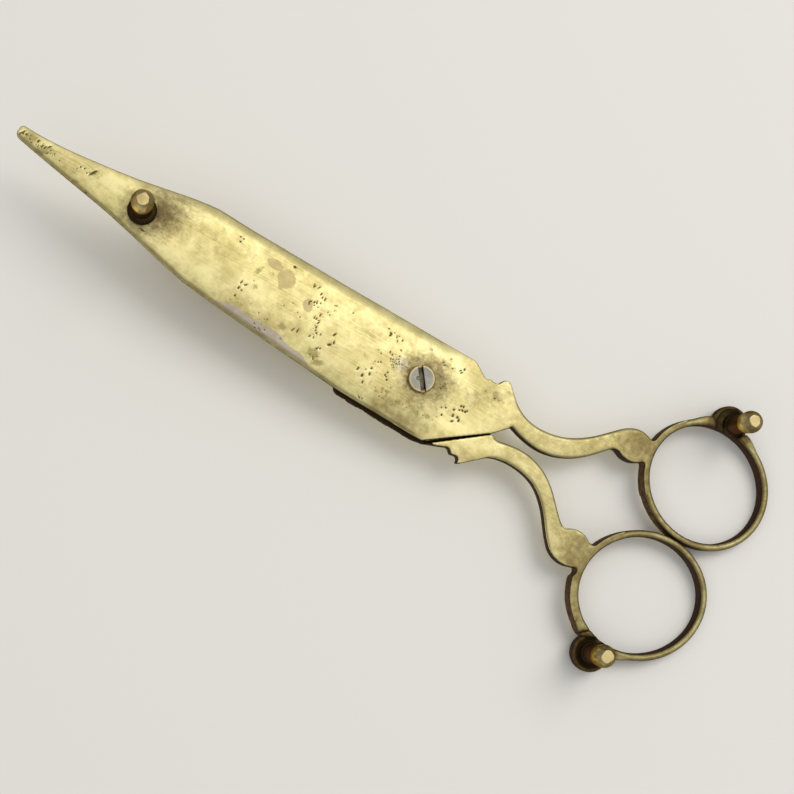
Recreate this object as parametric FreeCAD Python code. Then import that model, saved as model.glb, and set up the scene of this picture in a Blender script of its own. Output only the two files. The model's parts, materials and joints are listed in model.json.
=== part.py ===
import FreeCAD, Part
import math
import os

# Candle wick trimmer: two brass levers on one pivot screw, a box for the trimmed wick
# on the lower lever and a press plate on the upper one that closes the box.
# Shapes are drawn about the pivot, with z = 0 on the underside of the long plate, and
# are then moved so that the three feet stand on z = 0.

PIVOT_X = -8.88
PIVOT_Y = 1.7
FOOT_HEIGHT = 12.0

PLATE_THICK = 1.8
SHANK_THICK = 3.4
HUB_TOP = 4.2
BLADE_TOP = 3.35
LAP_GAP = 0.05
SHANK_ROUND = 0.5
SHANK_LONG_EDGE = 20.0

RING_BAND = 1.45
RING_HEIGHT = 4.6
RING_ROUND = 0.55
BASE_RING = (-62.05, 12.5, 13.4, 12.3, 20.6)
PRESS_RING = (-61.2, -14.35, 13.6, 12.6, -32.0)
ROOT_EXTRA = 0.5
ROOT_ANGLES = (-62.0, -14.0)
SEAM_ANGLE = -62.0
SEAM_WIDTH = 0.25
SEAM_DEPTH = 0.45
PAD_RADIUS = 3.9
PAD_RIM = 0.7
PAD_DISH = 0.5
BASE_PAD = (-60.5, 26.2)
PRESS_PAD = (-58.2, -29.6)
BASE_FOOT = (-61.2, 26.4)
PRESS_FOOT = (-58.2, -29.6)

FRONT_FOOT = (65.0, -0.6)
FRONT_COLLAR = 2.95
RING_COLLAR = 2.3
COLLAR_HEIGHT = 1.2
COLLAR_EDGE = 0.6
COLLAR_HOLLOW = 1.08
STEM_RADIUS = 1.9
STEM_END = 5.6
KNOB_RADIUS = 2.2
KNOB_AT = 8.4
KNOB_SWELL = 0.1
NOSE_SHARES = (0.86, 0.25)
FACET_RADIUS = 1.3
TENON_RADIUS = 1.2
PEEN_RADIUS = 1.9
PEEN_HEIGHT = 0.45
PEEN_BULGE = 0.7
PEEN_ROOM = 0.1

SCREW_RADIUS = 1.7
HEAD_RADIUS = 2.8
HEAD_HEIGHT = 1.2
HEAD_EDGE = 0.3
SLOT_WIDTH = 0.95
SLOT_DEPTH = 0.75
SLOT_ANGLE = 52.0
PIVOT_FIT = 0.05
WASHER_RADIUS = 3.6
WASHER_THICK = 0.6
NUT_ACROSS = 6.4
NUT_THICK = 2.4
NUT_EDGE = 0.5
SCREW_END = 0.6

WALL_THICK = 0.9
WALL_HEIGHT = 13.2
BOX_REAR = 18.7
BOX_FRONT = 57.5
BOX_SIDE = -6.0
BOX_REAR_ROUND = 4.0
BOX_NOSE_ROUND = 10.0
MOUTH_REAR_Y = 7.9
MOUTH_FRONT_Y = 6.9
MOUTH_MARGIN = 4.0
NOTCH_Y = 1.5
NOTCH_TOP = 3.8
BEAD_END_Y = 4.0
LID_THICK = 0.9
LID_LIP = 0.5
PANEL_INSET = 2.2
PANEL_RISE = 0.5
SOLDER_SIZE = 0.55

PRESS_THICK = 1.0
PRESS_REAR = (20.8, 6.3)
PRESS_FRONT = (55.2, 5.4)
PRESS_TOP = 14.4
FLANGE_WIDTH = 2.6
FLANGE_THICK = 0.8
FLANGE_TAPER = 0.97
RIVET_PLACES = (0.18, 0.5, 0.82)
RIVET_RADIUS = 0.8
RIVET_HEAD_RADIUS = 1.1
RIVET_HEAD_HEIGHT = 0.6

HUB_RADIUS = 17.5

UP = FreeCAD.Vector(0, 0, 1)
RING_LOW = SHANK_THICK / 2 - RING_HEIGHT / 2
RING_TOP = SHANK_THICK / 2 + RING_HEIGHT / 2
HUB_LOW = PLATE_THICK + LAP_GAP
BOX_TOP = PLATE_THICK + WALL_HEIGHT
OVER = 1.0
ASIDE = 20.0
AHEAD = 100.0


def vec(point, z=0.0):
    return FreeCAD.Vector(point[0], point[1], z)


def polar(angle, radius, centre=(0.0, 0.0)):
    turn = math.radians(angle)
    return (centre[0] + radius * math.cos(turn), centre[1] + radius * math.sin(turn))


def curve(points):
    """A straight line through two points, an arc through three, a spline through more."""
    if len(points) == 2:
        return Part.makeLine(vec(points[0]), vec(points[1]))
    if len(points) == 3:
        return Part.Arc(vec(points[0]), vec(points[1]), vec(points[2])).toShape()
    spline = Part.BSplineCurve()
    spline.interpolate([vec(p) for p in points])
    return spline.toShape()


def face(*runs):
    """A flat face bounded by runs of points, each run starting where the last one ended."""
    edges = []
    last = runs[-1][-1]
    for run in runs:
        edges.append(curve([last] + run))
        last = run[-1]
    return Part.Face(Part.Wire(edges))


def corners(*points):
    """A flat face with straight sides."""
    return face(*[[p] for p in points])


def block(flat, low, high):
    """The solid over a flat face between two heights."""
    solid = flat.extrude(UP * (high - low))
    solid.translate(UP * low)
    return solid


def cylinder(centre, radius, low, high):
    return Part.makeCylinder(radius, high - low, vec(centre, low), UP)


def rounded(solid, radius, shortest):
    """The solid with the long edges of its lowest and highest faces rounded over."""
    for end in (solid.BoundBox.ZMin, solid.BoundBox.ZMax):
        edges = []
        for edge in solid.Edges:
            box = edge.BoundBox
            flat = abs(box.ZMin - end) + abs(box.ZMax - end) < 1e-6
            if flat and edge.Length > shortest:
                edges.append(edge)
        solid = solid.makeFillet(radius, edges)
    return solid


def one(shape):
    """The single solid inside a fused or cut shape, with its faces merged."""
    solids = shape.removeSplitter().Solids
    assert len(solids) == 1
    return solids[0]


def turned(centre, runs):
    """A turned solid about a vertical axis, from runs of (radius, height) points."""
    edges = []
    last = runs[-1][-1]
    for run in runs:
        places = [FreeCAD.Vector(p[0], 0, p[1]) for p in [last] + run]
        if len(places) == 2:
            edges.append(Part.makeLine(places[0], places[1]))
        else:
            edges.append(Part.Arc(places[0], places[1], places[2]).toShape())
        last = run[-1]
    solid = Part.Face(Part.Wire(edges)).revolve(FreeCAD.Vector(), UP, 360)
    solid.translate(vec(centre))
    return solid


def oval(ring, grow):
    """The flat oval of a finger ring, larger or smaller than its middle line by grow."""
    ellipse = Part.Ellipse(FreeCAD.Vector(), ring[2] + grow, ring[3] + grow)
    flat = Part.Face(Part.Wire(ellipse.toShape()))
    flat.rotate(FreeCAD.Vector(), UP, ring[4])
    flat.translate(vec(ring))
    return flat


def ring_band(ring, extra=0.0):
    """The rounded band of a finger ring, thicker on the outside by extra."""
    flat = oval(ring, RING_BAND / 2 + extra).cut(oval(ring, -RING_BAND / 2))
    return rounded(block(flat, RING_LOW, RING_TOP), RING_ROUND, RING_BAND)


def foot_pad(ring, pad):
    """The pad that carries a foot, cut to the inside of its ring."""
    disc = rounded(cylinder(pad, PAD_RADIUS, 0, SHANK_THICK), SHANK_ROUND, PAD_RADIUS)
    return disc.cut(block(oval(ring, 0), RING_LOW - OVER, RING_TOP + OVER))


def foot_seat(pad, place):
    """What is cut from a pad: its dished underside, the tenon hole and the peened end's seat."""
    dish = cylinder(pad, PAD_RADIUS - PAD_RIM, RING_LOW - OVER, PAD_DISH)
    hole = cylinder(place, TENON_RADIUS, 0, SHANK_THICK)
    return dish.fuse([hole, cylinder(place, PEEN_RADIUS + PEEN_ROOM, SHANK_THICK, RING_TOP + OVER)])


# The base lever: a long pointed plate, a cusped shoulder, an S-shaped shank and its ring.
def plate_outline():
    return face(
        [(87.0, 1.75), (79.0, 2.75), (68.0, 4.7), (57.0, 7.3), (52.0, 8.05)],
        [(30.0, 8.3), (0.0, 9.1), (-7.2, 9.2)],
        [(-7.9, 9.1), (-8.5, 8.8)],
        [(-11.0, 7.3)],
        [(-11.7, 7.15), (-12.3, 7.6)],
        [(-13.3, 7.4), (-14.2, 7.6)],
        [(-14.8, 8.8)],
        [(-15.8, 9.15), (-16.7, 8.75)],
        [(-18.2, 7.4)],
        [(-21.0, 4.4)],
        [(-20.7, 0.95)],
        [(-18.2, -1.75)],
        [(-6.8, -10.3)],
        [(-6.4, -10.55), (-5.9, -10.6)],
        [(14.0, -10.7)],
        [(24.0, -10.1), (40.0, -9.2), (51.0, -8.35)],
        [(58.0, -7.0), (70.0, -4.6), (82.0, -2.8), (93.2, -1.0)],
        [(93.8, -0.5)],
        [(93.8, 1.1)],
        [(93.2, 1.6)],
    )


def base_shank_outline():
    return face(
        [(-18.4, 7.25), (-20.8, 5.5), (-24.0, 4.4), (-28.0, 4.45), (-32.5, 5.9), (-36.5, 8.7),
         (-40.0, 12.2), (-42.4, 14.3), (-45.0, 15.05), (-47.3, 14.4)],
        [(-48.9, 14.6)],
        [(-48.9, 9.7)],
        [(-41.5, 8.8)],
        [(-40.0, 7.1), (-37.0, 4.0), (-33.0, 1.45), (-28.5, 0.25), (-24.5, 0.5), (-21.6, 1.25)],
        [(-15.5, 3.0)],
        [(-15.5, 8.75)],
        [(-16.7, 8.75)],
    )


def base_knuckle_outline():
    return face(
        [(-48.9, 9.7)],
        [(-48.0, 9.4)],
        [(-45.4, 8.2), (-42.2, 9.1)],
        [(-41.5, 8.8)],
        [(-44.0, 12.0)],
        [(-48.9, 12.0)],
    )


def base_lever():
    ahead = corners((-9.6, 8.6), (-18.5, 1.85), (-18.5, -ASIDE), (AHEAD, -ASIDE), (AHEAD, ASIDE),
                    (-9.6, ASIDE))
    shank = rounded(block(base_shank_outline(), 0, SHANK_THICK), SHANK_ROUND, SHANK_LONG_EDGE)
    shank = shank.cut(block(ahead, -OVER, SHANK_THICK + OVER))
    shoulder = plate_outline().cut(ahead)
    lever = block(plate_outline(), 0, PLATE_THICK).fuse([
        shank,
        block(shoulder, 0, SHANK_THICK),
        block(base_knuckle_outline(), 0, SHANK_THICK),
        ring_band(BASE_RING),
        foot_pad(BASE_RING, BASE_PAD),
    ])
    lever = lever.cut(cylinder((0, 0), SCREW_RADIUS, -OVER, HUB_TOP))
    lever = lever.cut(cylinder(FRONT_FOOT, TENON_RADIUS, -OVER, HUB_TOP))
    return one(lever.cut(foot_seat(BASE_PAD, BASE_FOOT)))


# The press lever: a hub and blade lapped over the plate, its own shank and its ring.
def hub_outline():
    return face(
        [(-7.2, -10.8)],
        [(-11.3, -9.1)],
        [(-15.0, -6.5)],
        [(-18.2, -2.1)],
        [(-18.2, 1.65)],
        [(-9.5, 8.3)],
        [(-9.0, 8.65), (-8.4, 8.8)],
        [(8.0, 8.7)],
        [polar(24.0, HUB_RADIUS)],
        [polar(-8.0, HUB_RADIUS), polar(-37.0, HUB_RADIUS)],
        [(13.0, -10.8)],
    )


def blade_outline():
    return corners((8.0, 2.2), (8.0, 8.7), (30.0, 8.0), (52.0, 7.7), (55.4, 6.9), (55.4, 4.4),
                   (54.6, 3.6))


def press_root_outline():
    return face(
        [(-18.1, -2.05)],
        [(-18.6, -2.1)],
        [(-19.3, -2.65)],
        [(-20.0, -2.5)],
        [(-21.5, -5.0)],
        [(-16.2, -9.9)],
        [(-15.6, -10.45)],
        [(-14.9, -10.85)],
        [(-14.75, -9.95)],
        [(-14.3, -9.5)],
        [(-13.5, -9.7), (-12.9, -9.75)],
        [(-12.2, -9.1)],
        [(-11.6, -9.0), (-11.0, -9.3)],
        [(-7.3, -10.8)],
    )


def press_shank_outline():
    return face(
        [(-23.0, -1.8), (-26.0, -1.55), (-29.0, -2.0), (-32.0, -3.2), (-35.0, -5.4), (-38.0, -8.4),
         (-40.2, -10.35)],
        [(-44.0, -13.0)],
        [(-40.0, -15.8)],
        [(-38.0, -13.6), (-36.0, -11.0), (-33.5, -8.3), (-30.5, -6.3), (-27.0, -5.4), (-23.5, -5.4),
         (-20.5, -6.2), (-18.0, -7.9), (-16.2, -9.9)],
        [(-16.2, -6.0)],
        [(-20.0, -2.5)],
    )


def press_knuckle_outline():
    return face(
        [(-41.0, -10.65)],
        [(-43.8, -9.5), (-46.7, -10.6)],
        [(-48.0, -10.6)],
        [(-48.0, -16.3)],
        [(-46.7, -16.4)],
        [(-43.6, -17.15), (-40.0, -15.8)],
        [(-40.2, -10.35)],
    )


def ring_root():
    """The stouter quarter of the press ring between its knuckle and the seam at the pad."""
    centre = (PRESS_RING[0], PRESS_RING[1])
    reach = 2 * PRESS_RING[2]
    wedge = corners(centre, polar(ROOT_ANGLES[0], reach, centre), polar(ROOT_ANGLES[1], reach, centre))
    return ring_band(PRESS_RING, ROOT_EXTRA).common(block(wedge, RING_LOW - OVER, RING_TOP + OVER))


def seam_cut():
    """A shallow open seam across the underside and the outside of the press ring."""
    inner = PRESS_RING[2] - RING_BAND
    outer = PRESS_RING[2] + RING_BAND / 2 + ROOT_EXTRA
    under = Part.makeBox(outer - inner + OVER, SEAM_WIDTH, SEAM_DEPTH + OVER)
    under.translate(FreeCAD.Vector(inner, 0, RING_LOW - OVER))
    side = Part.makeBox(2 * OVER, SEAM_WIDTH, RING_HEIGHT)
    side.translate(FreeCAD.Vector(outer - SEAM_DEPTH - ROOT_EXTRA / 2, 0, RING_LOW))
    seam = under.fuse(side)
    seam.rotate(FreeCAD.Vector(), UP, SEAM_ANGLE)
    seam.translate(vec(PRESS_RING))
    return seam


def press_lever():
    shank = rounded(block(press_shank_outline(), 0, SHANK_THICK), SHANK_ROUND, SHANK_LONG_EDGE)
    lever = one(block(hub_outline(), HUB_LOW, HUB_TOP).fuse([
        block(blade_outline(), HUB_LOW, BLADE_TOP),
        block(press_root_outline(), 0, SHANK_THICK),
        shank,
        block(press_knuckle_outline(), 0, SHANK_THICK),
    ]))
    lever = lever.fuse([ring_band(PRESS_RING), ring_root(), foot_pad(PRESS_RING, PRESS_PAD)])
    lever = lever.cut(cylinder((0, 0), SCREW_RADIUS + PIVOT_FIT, 0, HUB_TOP + OVER))
    for place in RIVET_PLACES:
        lever = lever.cut(cylinder(rivet_at(place), RIVET_RADIUS, 0, HUB_TOP))
    lever = lever.cut(seam_cut())
    return one(lever.cut(foot_seat(PRESS_PAD, PRESS_FOOT)))


# The wick box: a bent wall soldered to the plate, open towards the press plate, and a lid.
def box_outline(grow, mouth_grow):
    """The box's plan, grown outwards, with its mouth side moved out by mouth_grow."""
    rear = BOX_REAR - grow
    front = BOX_FRONT + grow
    side = BOX_SIDE - grow
    rear_round = BOX_REAR_ROUND + grow
    nose_round = BOX_NOSE_ROUND + grow
    rear_centre = (rear + rear_round, side + rear_round)
    nose_centre = (front - nose_round, side + nose_round)
    return face(
        [(rear, side + rear_round)],
        [polar(225.0, rear_round, rear_centre), (rear + rear_round, side)],
        [(front - nose_round, side)],
        [polar(-45.0, nose_round, nose_centre), (front, side + nose_round)],
        [(front, MOUTH_FRONT_Y + mouth_grow)],
        [(rear, MOUTH_REAR_Y + mouth_grow)],
    )


def beyond_mouth():
    """Everything on the open side of the box's mouth."""
    rear = BOX_REAR - MOUTH_MARGIN
    front = BOX_FRONT + MOUTH_MARGIN
    beyond = corners((rear, MOUTH_REAR_Y), (front, MOUTH_FRONT_Y), (front, ASIDE), (rear, ASIDE))
    return block(beyond, 0, BOX_TOP + OVER)


def wick_box_wall():
    flat = box_outline(0, MOUTH_MARGIN).cut(box_outline(-WALL_THICK, 2 * MOUTH_MARGIN))
    wall = block(flat, PLATE_THICK, BOX_TOP).cut(beyond_mouth())
    outer = BOX_REAR - OVER
    inner = BOX_REAR + 2 * OVER
    notch = corners((outer, NOTCH_Y), (inner, NOTCH_Y), (inner, ASIDE), (outer, ASIDE))
    return one(wall.cut(block(notch, PLATE_THICK, NOTCH_TOP)))


def wick_box_lid():
    lid = block(box_outline(LID_LIP, 0), BOX_TOP, BOX_TOP + LID_THICK)
    panel = block(box_outline(-PANEL_INSET, -PANEL_INSET), BOX_TOP, BOX_TOP + LID_THICK + PANEL_RISE)
    return one(lid.fuse(panel))


def box_solder():
    """The bead of solder in the corner between the box wall and the plate."""
    flat = box_outline(SOLDER_SIZE, MOUTH_MARGIN).cut(box_outline(0, 2 * MOUTH_MARGIN))
    rear = BOX_REAR - OVER
    front = BOX_FRONT + OVER
    kept = corners((rear, -ASIDE), (front, -ASIDE), (front, BEAD_END_Y),
                   (BOX_REAR + BOX_REAR_ROUND, NOTCH_Y), (rear, NOTCH_Y))
    return one(block(flat.common(kept), PLATE_THICK, PLATE_THICK + SOLDER_SIZE))


# The press plate: an upright sheet whose flange is riveted to the blade.
def press_along(place, inward):
    """A point at a share of the press plate's length, moved into the box by inward."""
    x = PRESS_REAR[0] + place * (PRESS_FRONT[0] - PRESS_REAR[0])
    y = PRESS_REAR[1] + place * (PRESS_FRONT[1] - PRESS_REAR[1])
    return (x, y - inward)


def rivet_at(place):
    return press_along(place, PRESS_THICK / 2 + (FLANGE_WIDTH - PRESS_THICK) / 2)


def press_plate():
    upright = corners(press_along(0, 0), press_along(1, 0), press_along(1, -PRESS_THICK),
                      press_along(0, -PRESS_THICK))
    broad = press_along(0, FLANGE_WIDTH - PRESS_THICK / 2)
    narrow = press_along(FLANGE_TAPER, FLANGE_WIDTH - 2 * PRESS_THICK)
    flat = corners(broad, narrow, press_along(1, 0), press_along(0, 0))
    flange = block(flat, BLADE_TOP, BLADE_TOP + FLANGE_THICK)
    plate = block(upright, BLADE_TOP, PRESS_TOP).fuse(flange)
    for place in RIVET_PLACES:
        plate = plate.cut(cylinder(rivet_at(place), RIVET_RADIUS, 0, HUB_TOP + OVER))
    return one(plate)


def rivet(centre):
    seat = BLADE_TOP + FLANGE_THICK
    return turned(centre, [
        [(0, HUB_LOW)],
        [(RIVET_RADIUS, HUB_LOW)],
        [(RIVET_RADIUS, seat)],
        [(RIVET_HEAD_RADIUS, seat)],
        [polar(45.0, RIVET_HEAD_HEIGHT, (RIVET_HEAD_RADIUS - RIVET_HEAD_HEIGHT, seat)),
         (RIVET_HEAD_RADIUS - RIVET_HEAD_HEIGHT, seat + RIVET_HEAD_HEIGHT)],
        [(0, seat + RIVET_HEAD_HEIGHT)],
    ])


def press_plate_rivets():
    return Part.makeCompound([rivet(rivet_at(place)) for place in RIVET_PLACES])


# The feet: turned pegs whose tenons pass through the brass and are peened over.
def foot(centre, seat, top, collar):
    low = -FOOT_HEIGHT
    nose = low + NOSE_SHARES[1] * (FOOT_HEIGHT - KNOB_AT)
    return turned(centre, [
        [(0, top + PEEN_HEIGHT)],
        [(PEEN_BULGE * PEEN_RADIUS, top + PEEN_BULGE * PEEN_HEIGHT), (PEEN_RADIUS, top)],
        [(TENON_RADIUS, top)],
        [(TENON_RADIUS, seat)],
        [(collar, seat)],
        [(collar, seat - COLLAR_EDGE)],
        [((collar + STEM_RADIUS) / 2, seat - COLLAR_HOLLOW), (STEM_RADIUS, seat - COLLAR_HEIGHT)],
        [(STEM_RADIUS, -STEM_END)],
        [((STEM_RADIUS + KNOB_RADIUS) / 2 + KNOB_SWELL, -(STEM_END + KNOB_AT) / 2), (KNOB_RADIUS, -KNOB_AT)],
        [(NOSE_SHARES[0] * KNOB_RADIUS, nose), (FACET_RADIUS, low)],
        [(0, low)],
    ])


# The pivot: a slotted screw, a washer on the hub and a square nut.
def pivot_screw():
    end = HUB_TOP + LAP_GAP + WASHER_THICK + NUT_THICK + SCREW_END
    screw = turned((0, 0), [
        [(SCREW_RADIUS - HEAD_EDGE, end)],
        [(SCREW_RADIUS, end - HEAD_EDGE)],
        [(SCREW_RADIUS, 0)],
        [(HEAD_RADIUS, 0)],
        [(HEAD_RADIUS, HEAD_EDGE - HEAD_HEIGHT)],
        [polar(-45.0, HEAD_EDGE, (HEAD_RADIUS - HEAD_EDGE, HEAD_EDGE - HEAD_HEIGHT)),
         (HEAD_RADIUS - HEAD_EDGE, -HEAD_HEIGHT)],
        [(0, -HEAD_HEIGHT)],
        [(0, end)],
    ])
    slot = Part.makeBox(2 * HEAD_RADIUS + OVER, SLOT_WIDTH, SLOT_DEPTH)
    slot.translate(FreeCAD.Vector(-HEAD_RADIUS - OVER / 2, -SLOT_WIDTH / 2, -HEAD_HEIGHT))
    slot.rotate(FreeCAD.Vector(), UP, SLOT_ANGLE)
    return one(screw.cut(slot))


def pivot_washer():
    seat = HUB_TOP + LAP_GAP
    ring = cylinder((0, 0), WASHER_RADIUS, seat, seat + WASHER_THICK)
    return one(ring.cut(cylinder((0, 0), SCREW_RADIUS + PIVOT_FIT, seat, seat + WASHER_THICK)))


def pivot_nut():
    seat = HUB_TOP + LAP_GAP + WASHER_THICK
    half = NUT_ACROSS / 2
    nut = block(corners((-half, -half), (half, -half), (half, half), (-half, half)), seat, seat + NUT_THICK)
    cone = turned((0, 0), [
        [(0, seat)],
        [(half * math.sqrt(2), seat)],
        [(half * math.sqrt(2), seat + NUT_THICK - 2 * NUT_EDGE)],
        [(half, seat + NUT_THICK)],
        [(0, seat + NUT_THICK)],
    ])
    nut = nut.common(cone)
    nut.rotate(FreeCAD.Vector(), UP, SLOT_ANGLE)
    return one(nut.cut(cylinder((0, 0), SCREW_RADIUS, seat, seat + NUT_THICK)))


PIECES = {
    "base_lever": base_lever(),
    "press_lever": press_lever(),
    "wick_box_wall": wick_box_wall(),
    "wick_box_lid": wick_box_lid(),
    "box_solder": box_solder(),
    "press_plate": press_plate(),
    "press_plate_rivets": press_plate_rivets(),
    "front_foot": foot(FRONT_FOOT, 0, PLATE_THICK, FRONT_COLLAR),
    "base_ring_foot": foot(BASE_FOOT, PAD_DISH, SHANK_THICK, RING_COLLAR),
    "press_ring_foot": foot(PRESS_FOOT, PAD_DISH, SHANK_THICK, RING_COLLAR),
    "pivot_screw": pivot_screw(),
    "pivot_washer": pivot_washer(),
    "pivot_nut": pivot_nut(),
}

os.makedirs("parts", exist_ok=True)
for name, shape in PIECES.items():
    shape.translate(FreeCAD.Vector(PIVOT_X, PIVOT_Y, FOOT_HEIGHT))
    shape.exportStep("parts/" + name + ".step")
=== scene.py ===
import json

import bmesh
import bpy
import numpy as np
from mathutils import Matrix, Vector
from mathutils.kdtree import KDTree


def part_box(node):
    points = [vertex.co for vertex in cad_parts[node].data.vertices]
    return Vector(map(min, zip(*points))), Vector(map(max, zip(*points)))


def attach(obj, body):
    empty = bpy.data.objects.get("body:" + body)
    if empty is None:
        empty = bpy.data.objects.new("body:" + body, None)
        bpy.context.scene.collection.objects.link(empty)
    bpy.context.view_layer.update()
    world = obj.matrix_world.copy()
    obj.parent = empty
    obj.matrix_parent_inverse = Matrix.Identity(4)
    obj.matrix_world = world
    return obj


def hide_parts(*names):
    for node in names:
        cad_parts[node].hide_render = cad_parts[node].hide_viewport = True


# A candle wick trimmer in worn brass. The CAD parts are the frame. Each is given an even
# fine mesh, softened corners, the dents and pits of age, and a brass, steel or solder look.

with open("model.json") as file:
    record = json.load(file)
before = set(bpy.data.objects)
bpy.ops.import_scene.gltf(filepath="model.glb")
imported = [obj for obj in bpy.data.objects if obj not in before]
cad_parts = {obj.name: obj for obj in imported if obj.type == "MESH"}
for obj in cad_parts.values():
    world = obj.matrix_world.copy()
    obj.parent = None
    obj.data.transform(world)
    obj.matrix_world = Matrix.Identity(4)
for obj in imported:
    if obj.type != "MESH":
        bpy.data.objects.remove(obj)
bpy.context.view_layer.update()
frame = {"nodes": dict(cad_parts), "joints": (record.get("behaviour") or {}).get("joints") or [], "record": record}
MM = 0.001
PIVOT = Vector(frame["joints"][0]["pos_m"])
ORIGIN = np.array([PIVOT.x, PIVOT.y, PIVOT.z - 3.0 * MM])  # pivot, on the plate's underside

BODY = {}
for body, nodes in frame["record"]["behaviour"]["bodies"].items():
    for node in nodes:
        BODY[node] = body

# ---------------------------------------------------------------- marks on the long plate
# Lengths in mm from the pivot, +X to the tip, seen on the underside.

# Groups of pits and chisel-like nicks: x, y, reach in x, reach in y, how many, and of each
# nick the half length, half width and direction in degrees.
NICKS = [
    (92.5, 0.2, 0.8, 0.6, 4, 0.42, 0.18, 95), (88.0, 0.3, 2.0, 0.5, 4, 0.60, 0.20, 115),
    (79.0, 0.4, 1.8, 0.8, 6, 0.24, 0.12, 117), (77.0, 0.7, 0.0, 0.0, 1, 1.00, 0.40, 125),
    (77.0, -3.6, 1.3, 0.2, 2, 0.27, 0.18, 10), (63.0, -3.9, 0.0, 0.0, 1, 0.70, 0.15, 178),
    (45.5, 5.2, 0.4, 1.2, 3, 0.18, 0.16, 0), (40.5, -3.8, 1.2, 1.8, 5, 0.36, 0.17, 115),
    (33.4, 6.0, 0.0, 0.0, 1, 0.38, 0.32, 148), (28.0, 4.9, 1.0, 0.3, 3, 0.42, 0.12, 95),
    (25.5, 3.4, 1.0, 1.2, 5, 0.38, 0.16, 85), (27.0, 1.6, 1.0, 0.4, 3, 0.38, 0.15, 105),
    (24.2, -0.8, 0.8, 1.1, 4, 0.44, 0.13, 105), (22.9, -3.4, 1.2, 1.3, 7, 0.44, 0.13, 98),
    (26.9, -5.1, 1.2, 0.3, 4, 0.40, 0.13, 92), (19.3, -2.8, 0.8, 1.2, 3, 0.45, 0.22, 115),
    (21.2, -5.8, 0.6, 0.4, 3, 0.46, 0.13, 100), (32.5, -8.3, 4.0, 0.7, 6, 0.20, 0.16, 10),
    (10.2, -5.0, 1.6, 1.8, 5, 0.40, 0.24, 80), (10.4, 4.7, 1.6, 0.2, 2, 0.38, 0.24, 82),
    (7.7, 2.4, 1.0, 3.2, 6, 0.24, 0.13, 88), (6.3, -3.3, 0.6, 1.8, 4, 0.30, 0.18, 100),
    (8.8, -9.7, 0.9, 0.2, 3, 0.35, 0.13, 74), (-7.1, -3.1, 0.6, 1.2, 3, 0.30, 0.18, 80),
    (-10.2, -1.5, 1.7, 2.3, 11, 0.36, 0.25, 80), (-6.4, 5.9, 0.5, 0.5, 3, 0.35, 0.16, 114),
    (-3.4, 6.2, 1.8, 1.9, 4, 0.28, 0.11, 125), (-15.3, 4.4, 0.9, 0.8, 2, 0.20, 0.14, 0),
]
GOLDEN_TURN = 2.4  # radians from one nick of a group to the next, which strews them evenly
# Clusters of fine specks: x, y, spread in x, spread in y, how many.
SPECKS = [
    (6.0, 0.3, 1.9, 1.7, 30), (24.5, 0.5, 3.2, 4.0, 12), (-4.6, 1.2, 1.0, 1.3, 12),
    (8.0, 5.0, 3.0, 1.2, 8), (35.0, -6.5, 5.0, 1.2, 8), (89.0, -0.6, 3.0, 0.7, 10),
    (30.0, 1.0, 10.0, 4.0, 10), (0.0, -6.5, 6.0, 1.4, 8), (66.0, 0.5, 5.0, 2.0, 6),
    (87.0, -0.4, 4.0, 1.0, 16),
    (20.5, -7.6, 1.6, 1.0, 16), (4.8, -6.3, 1.8, 1.0, 10), (10.0, -1.5, 3.0, 3.0, 12),
]
# Stains: x, y, radius along, radius across, direction in degrees, depth of colour.
RUST_STAINS = [
    (33.6, 3.0, 2.0, 1.75, 30, 0.95), (33.8, 1.3, 0.9, 0.7, 80, 0.8), (37.0, 4.3, 2.1, 1.1, 5, 0.8),
    (36.4, 2.4, 0.7, 0.5, 60, 0.5), (27.2, 0.7, 1.6, 1.2, 60, 0.75), (23.1, 4.7, 1.3, 0.35, 60, 0.4),
    (1.2, 6.3, 0.5, 0.4, 0, 0.8), (-14.8, 5.2, 1.4, 1.1, 60, 0.55), (-16.6, 5.0, 1.2, 0.8, 30, 0.5),
    (15.5, 2.5, 1.2, 0.4, 60, 0.3), (2.6, 3.2, 1.0, 0.6, 0, 0.5),
]
OLIVE_STAINS = [
    (39.2, 1.4, 1.35, 0.5, 108, 0.8), (38.1, -1.6, 0.6, 0.55, 0, 0.75), (29.4, -5.7, 0.9, 0.7, 20, 0.9),
    (32.2, -2.5, 0.8, 0.3, 150, 0.5), (37.5, -5.0, 0.9, 0.5, 20, 0.4), (23.9, 0.8, 2.0, 0.9, 60, 0.5),
    (21.4, -7.0, 1.0, 1.2, 100, 1.0), (19.6, -8.2, 1.5, 0.6, 150, 0.9), (5.7, -5.9, 0.5, 0.42, 80, 0.9),
    (4.6, -5.8, 0.42, 0.5, 80, 0.8), (6.6, -6.9, 0.35, 0.5, 80, 0.8), (4.8, -7.4, 0.4, 0.35, 0, 0.8),
    (1.6, -6.4, 0.6, 0.4, 0, 0.6), (-2.7, -6.4, 0.8, 0.5, 10, 0.85), (-4.9, -5.8, 0.8, 0.5, 0, 0.8),
    (8.5, -6.0, 0.7, 0.4, 80, 0.6), (52.0, -6.0, 5.0, 0.8, 175, 0.25), (14.0, -6.5, 3.5, 1.2, 170, 0.25),
    (41.5, 0.2, 0.5, 0.4, 0, 0.3), (12.0, -9.0, 3.0, 0.5, 178, 0.3), (90.8, 0.3, 1.5, 1.0, 160, 0.8),
    (87.2, -0.6, 2.4, 0.9, 150, 0.75), (79.0, -2.6, 1.0, 0.4, 165, 0.7), (76.0, 0.9, 1.4, 0.9, 120, 0.5),
    (83.5, 1.2, 2.0, 0.5, 172, 0.4),
]
# The grey solder that ran along the near edge: widest at its middle and gone at its ends.
SOLDER_MIDDLE = 32.5
SOLDER_HALF = 14.3
SOLDER_WIDTH = 2.4
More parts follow.
